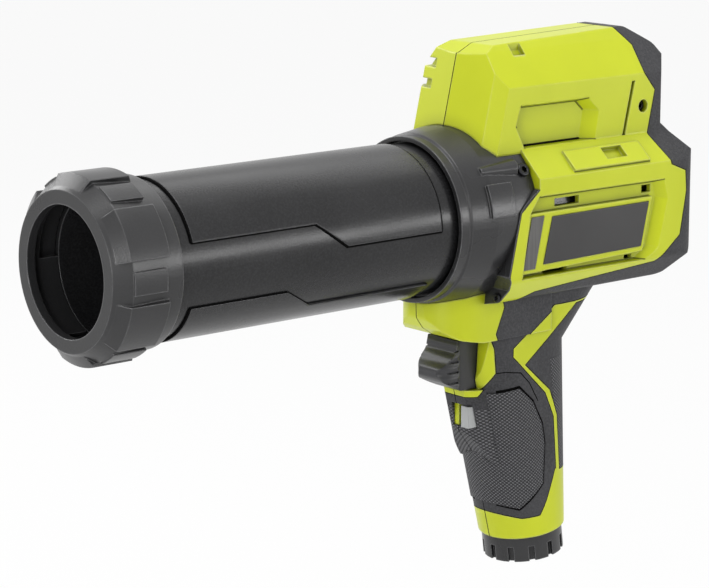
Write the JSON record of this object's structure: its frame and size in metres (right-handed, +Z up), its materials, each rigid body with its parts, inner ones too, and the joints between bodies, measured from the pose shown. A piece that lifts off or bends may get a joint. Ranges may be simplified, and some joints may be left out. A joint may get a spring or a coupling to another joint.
{
  "type": "cordless caulking tool",
  "caption": "Pistol-grip cordless caulking tool: bayonet ring, cartridge barrel, chain-driven piston, sliding trigger and a battery in the handle.",
  "frame": {"origin": "middle of the hand grip, where the palm closes on it", "axes": "+X out of the muzzle along the barrel, +Y to the tool's left, +Z up"},
  "size_m": [0.2844, 0.0704, 0.2118],
  "materials": {
    "lime": "satin moulded plastic, lime",
    "black_plastic": "fine-grained black plastic",
    "soft_grip": "matt dark grey overmould",
    "plate": "bare dark plate",
    "smoked": "smoked window",
    "grey_plastic": "light grey button",
    "steel": "plain steel",
    "zinc": "zinc-plated",
    "bronze": "sintered bronze",
    "acetal": "natural acetal",
    "board": "green board",
    "wiper": "black rubber"
  },
  "bodies": {
    "housing": {"left_housing": "lime", "right_housing": "lime", "left_overmould": "soft_grip", "right_overmould": "soft_grip", "grip_backstrap": "soft_grip", "left_grip_pad": "soft_grip", "right_grip_pad": "soft_grip", "name_plate": "plate", "side_window": "smoked", "housing_screws": "steel", "nose_screws": "steel", "nose_collar": "black_plastic", "barrel_tube": "black_plastic", "chamber_bulkhead": "zinc", "chain_guide": "acetal", "axle_bushes": "bronze", "gearhead": "zinc", "motor": "zinc", "trigger_switch": "black_plastic", "trigger_spring": "steel", "control_board": "board", "battery_contacts": "bronze", "chain_links": "steel", "chain_pins": "steel"},
    "ring": {"locking_ring": "black_plastic"},
    "drive": {"sprocket": "steel", "drive_axle": "steel", "drive_gear": "steel"},
    "pinion": {"motor_pinion": "steel"},
    "piston": {"piston_plate": "steel", "piston_wiper": "wiper", "clevis_pin": "steel", "lead_links": "steel", "lead_pins": "steel"},
    "trigger": {"trigger": "black_plastic"},
    "selector": {"selector_button": "grey_plastic"},
    "battery": {"battery_pack": "black_plastic", "battery_cap": "black_plastic", "battery_terminals": "bronze"}
  },
  "joints": [
    {"name": "ring_twist", "type": "hinge", "parent": "housing", "child": "ring", "pos_m": [0.199, 0, 0.09], "axis": [1, 0, 0], "range_deg": [0, 40]},
    {"name": "drive_turn", "type": "hinge", "parent": "housing", "child": "drive", "pos_m": [-0.03479, 0, 0.10739], "axis": [0, -1, 0], "range_deg": [0, 540], "deforming": ["chain_links", "chain_pins"]},
    {"name": "piston_slide", "type": "slide", "parent": "housing", "child": "piston", "axis": [1, 0, 0], "range_m": [0, 0.1621]},
    {"name": "pinion_turn", "type": "hinge", "parent": "housing", "child": "pinion", "pos_m": [-0.0459, 0, 0.07685], "axis": [0, -1, 0], "range_deg": [-811, 0]},
    {"name": "trigger_pull", "type": "slide", "parent": "housing", "child": "trigger", "axis": [-1, 0, 0], "range_m": [0, 0.006], "stiffness_N_per_m": 400, "springref_m": -0.004, "deforming": ["trigger_spring"]},
    {"name": "selector_slide", "type": "slide", "parent": "housing", "child": "selector", "axis": [0, -1, 0], "range_m": [0, 0.0032]},
    {"name": "battery_slide", "type": "slide", "parent": "housing", "child": "battery", "axis": [-0.1323, 0, -0.9912], "range_m": [0, 0.075]}
  ],
  "couplings": [
    {"joint": "piston_slide", "follows": "drive_turn", "m_per_rad": 0.017189},
    {"joint": "pinion_turn", "follows": "drive_turn", "ratio": -1.5}
  ]
}
